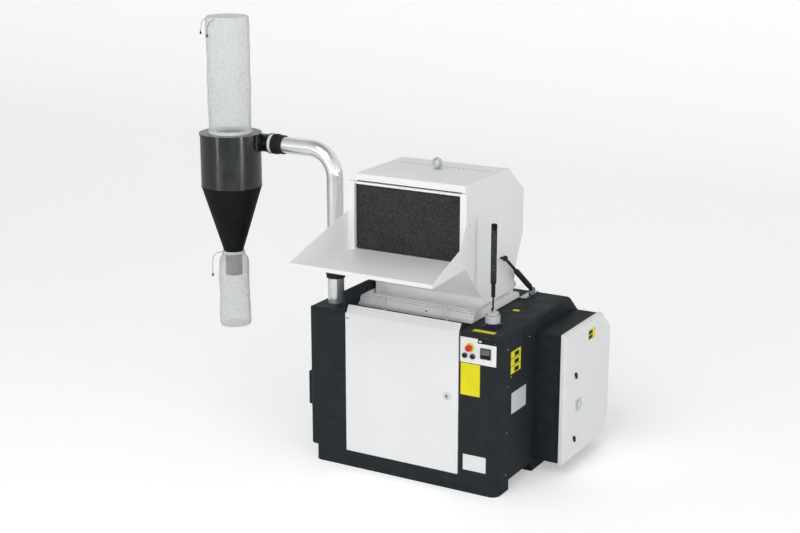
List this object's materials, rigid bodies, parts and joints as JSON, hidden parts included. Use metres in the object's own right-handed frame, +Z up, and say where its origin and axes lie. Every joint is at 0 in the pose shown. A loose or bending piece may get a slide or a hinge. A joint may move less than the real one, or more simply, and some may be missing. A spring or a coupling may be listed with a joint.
{
  "type": "plastic granulator",
  "caption": "Floor-standing plastic granulator: tilting feed hopper with tray and curtain, rotor chamber, blower line to a cyclone with filter and collection bags, side control cabinet.",
  "frame": {"origin": "centre of the base footprint on the floor", "axes": "+X to the operator's right seen from the front, +Y from the operator panel side to the rear, +Z up"},
  "size_m": [2.4409, 1.8014, 2.91],
  "materials": {
    "black_coat": "black textured powder coat",
    "satin_black": "black satin coat",
    "dark_black": "black matt coat",
    "cast_black": "painted casting",
    "white_coat": "white fine powder coat",
    "blue_coat": "blue motor paint",
    "orange_coat": "orange mounting plate",
    "bright_steel": "zinc plated steel",
    "machined_steel": "machined steel",
    "polished_steel": "polished stainless tube",
    "black_plastic": "black plastic",
    "red_plastic": "red plastic",
    "white_plastic": "white plastic",
    "blue_plastic": "violet blue plastic",
    "rubber_black": "black rubber",
    "rubber_curtain": "speckled black rubber",
    "bag_cloth": "thin white filter cloth",
    "cord_cloth": "thin dark cord"
  },
  "bodies": {
    "machine": {"base_frame": "black_coat", "left_column_cover": "black_coat", "left_vent_hood": "black_coat", "left_side_panel": "black_coat", "right_column_cover": "black_coat", "rear_cover": "black_coat", "door_hinge_pins": "bright_steel", "control_plate": "white_coat", "display_unit": "black_plastic", "chamber_body": "machined_steel", "bed_knives": "bright_steel", "bearing_housings": "cast_black", "chamber_top_frame": "white_coat", "screen": "machined_steel", "granule_pan": "bright_steel", "main_motor": "blue_coat", "drive_belt": "rubber_black", "blower_housing": "black_coat", "blower_motor": "cast_black", "discharge_pipe": "polished_steel", "conveying_pipe": "polished_steel", "pipe_couplings": "rubber_black", "cyclone_barrel": "satin_black", "cyclone_cone": "dark_black", "cyclone_lid": "satin_black", "collar_rings": "white_plastic", "filter_bag": "bag_cloth", "collection_bag": "bag_cloth", "upper_cord_tail": "cord_cloth", "second_cord_tail": "cord_cloth", "lower_cord_tail": "cord_cloth", "cord_toggles": "black_plastic", "ram_bracket": "bright_steel", "pump_body": "blue_plastic", "pump_reservoir": "white_plastic", "cabinet_box": "black_coat", "cabinet_back_plate": "orange_coat"},
    "door": {"front_door": "white_coat"},
    "door_lock_barrel": {"door_lock": "bright_steel"},
    "hopper": {"hopper_shell": "white_coat", "hopper_flange": "white_coat", "feed_tray": "white_coat", "lifting_eye": "bright_steel"},
    "curtain": {"feed_curtain": "rubber_curtain"},
    "clamp_left": {"left_hopper_clamp": "white_plastic"},
    "clamp_right": {"right_hopper_clamp": "white_plastic"},
    "barrel_of_ram": {"ram_barrel": "black_coat"},
    "rod_of_ram": {"ram_rod": "black_coat"},
    "lever": {"pump_lever": "black_plastic"},
    "stop_head": {"emergency_stop": "red_plastic"},
    "start_head": {"start_button": "black_plastic"},
    "halt_head": {"stop_button": "black_plastic"},
    "panel_door": {"cabinet_door": "white_coat"},
    "panel_lock_upper": {"upper_cabinet_lock": "black_plastic"},
    "panel_lock_lower": {"lower_cabinet_lock": "black_plastic"},
    "isolator": {"isolator_knob": "white_plastic"},
    "cutting_rotor": {"rotor": "machined_steel", "rotor_knives": "bright_steel"},
    "motor_armature": {"motor_pulley": "cast_black"},
    "blower_wheel": {"blower_impeller": "machined_steel"}
  },
  "joints": [
    {"name": "front_door_swing", "type": "hinge", "parent": "machine", "child": "door", "pos_m": [-0.409, -0.6205, 0.6], "axis": [0, 0, -1], "range_deg": [0, 98]},
    {"name": "door_lock_turn", "type": "hinge", "parent": "door", "child": "door_lock_barrel", "pos_m": [0.333, -0.62, 0.623], "axis": [0, 1, 0], "range_deg": [-90, 0]},
    {"name": "hopper_tilt", "type": "hinge", "parent": "machine", "child": "hopper", "pos_m": [0, 0.385, 1.1], "axis": [-1, 0, 0], "range_deg": [0, 70]},
    {"name": "curtain_swing", "type": "hinge", "parent": "hopper", "child": "curtain", "pos_m": [0, -0.54, 1.888], "axis": [1, 0, 0], "range_deg": [0, 50]},
    {"name": "left_clamp_turn", "type": "hinge", "parent": "machine", "child": "clamp_left", "pos_m": [-0.227, -0.451, 1.12], "axis": [0, 0, 1], "range_deg": [0, 90]},
    {"name": "right_clamp_turn", "type": "hinge", "parent": "machine", "child": "clamp_right", "pos_m": [0.227, -0.451, 1.12], "axis": [0, 0, 1], "range_deg": [0, 90]},
    {"name": "ram_swing", "type": "hinge", "parent": "machine", "child": "barrel_of_ram", "pos_m": [0.448, 0.355, 1.092], "axis": [-1, 0, 0], "range_deg": [0, 71]},
    {"name": "ram_extend", "type": "slide", "parent": "barrel_of_ram", "child": "rod_of_ram", "axis": [0, -0.8046, 0.5939], "range_m": [0, 0.037]},
    {"name": "pump_lever_swing", "type": "hinge", "parent": "machine", "child": "lever", "pos_m": [0.541, -0.418, 1.166], "axis": [1, 0, 0], "range_deg": [-20, 25]},
    {"name": "emergency_stop_press", "type": "slide", "parent": "machine", "child": "stop_head", "axis": [0, 1, 0], "range_m": [0, 0.004], "stiffness_N_per_m": 400},
    {"name": "start_button_press", "type": "slide", "parent": "machine", "child": "start_head", "axis": [0, 1, 0], "range_m": [0, 0.004], "stiffness_N_per_m": 300},
    {"name": "stop_button_press", "type": "slide", "parent": "machine", "child": "halt_head", "axis": [0, 1, 0], "range_m": [0, 0.004], "stiffness_N_per_m": 300},
    {"name": "cabinet_door_swing", "type": "hinge", "parent": "machine", "child": "panel_door", "pos_m": [0.87, 0.652, 0.5], "axis": [0, 0, 1], "range_deg": [0, 110]},
    {"name": "upper_cabinet_lock_turn", "type": "hinge", "parent": "panel_door", "child": "panel_lock_upper", "pos_m": [0.9, 0.058, 0.657], "axis": [1, 0, 0], "range_deg": [0, 90]},
    {"name": "lower_cabinet_lock_turn", "type": "hinge", "parent": "panel_door", "child": "panel_lock_lower", "pos_m": [0.9, 0.058, 0.219], "axis": [1, 0, 0], "range_deg": [0, 90]},
    {"name": "isolator_turn", "type": "hinge", "parent": "panel_door", "child": "isolator", "pos_m": [0.91, 0.122, 0.43], "axis": [1, 0, 0], "range_deg": [0, 90]},
    {"name": "rotor_spin", "type": "hinge", "parent": "machine", "child": "cutting_rotor", "pos_m": [0, -0.05, 0.83], "axis": [1, 0, 0], "continuous": true},
    {"name": "motor_spin", "type": "hinge", "parent": "machine", "child": "motor_armature", "pos_m": [0.2, 0.42, 0.33], "axis": [1, 0, 0], "continuous": true},
    {"name": "blower_spin", "type": "hinge", "parent": "machine", "child": "blower_wheel", "pos_m": [-0.592, -0.26, 0.48], "axis": [1, 0, 0], "continuous": true}
  ],
  "couplings": [
    {"joint": "motor_spin", "follows": "rotor_spin", "ratio": 2.25},
    {"joint": "ram_swing", "follows": "hopper_tilt", "ratio": 1.0033},
    {"joint": "ram_extend", "follows": "hopper_tilt", "m_per_rad": 0.029139}
  ]
}
